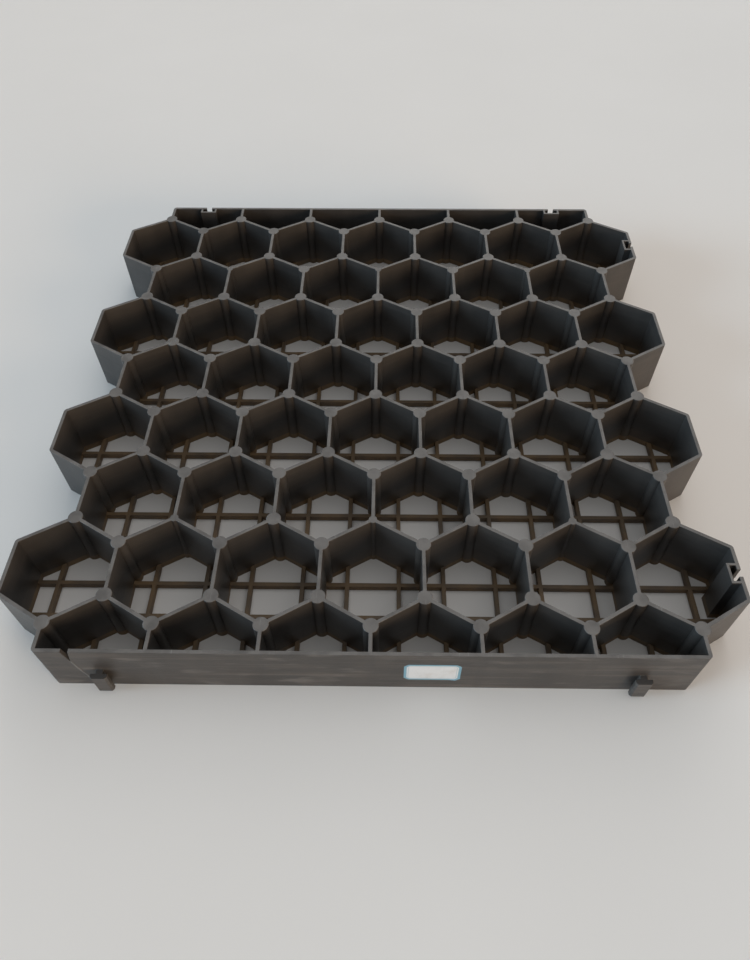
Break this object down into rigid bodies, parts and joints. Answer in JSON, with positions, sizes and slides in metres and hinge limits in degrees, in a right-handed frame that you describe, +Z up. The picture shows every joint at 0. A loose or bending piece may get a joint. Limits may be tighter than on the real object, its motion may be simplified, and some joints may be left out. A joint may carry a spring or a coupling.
{
  "type": "grass paver grid",
  "caption": "Flat black plastic honeycomb paving panel with round posts at the wall joints, a floor of crossing bars, and tabs and sockets that lock panels together.",
  "frame": {"origin": "middle of the panel on its underside, where it rests on the ground", "axes": "+Z up through the cells, +X to the side with two sockets, +Y to the back, which has the other two sockets"},
  "size_m": [0.5061, 0.4985, 0.05],
  "materials": {
    "panel": "black recycled plastic, satin, as moulded"
  },
  "bodies": {
    "root": {"paver_grid": "panel"}
  },
  "joints": []
}
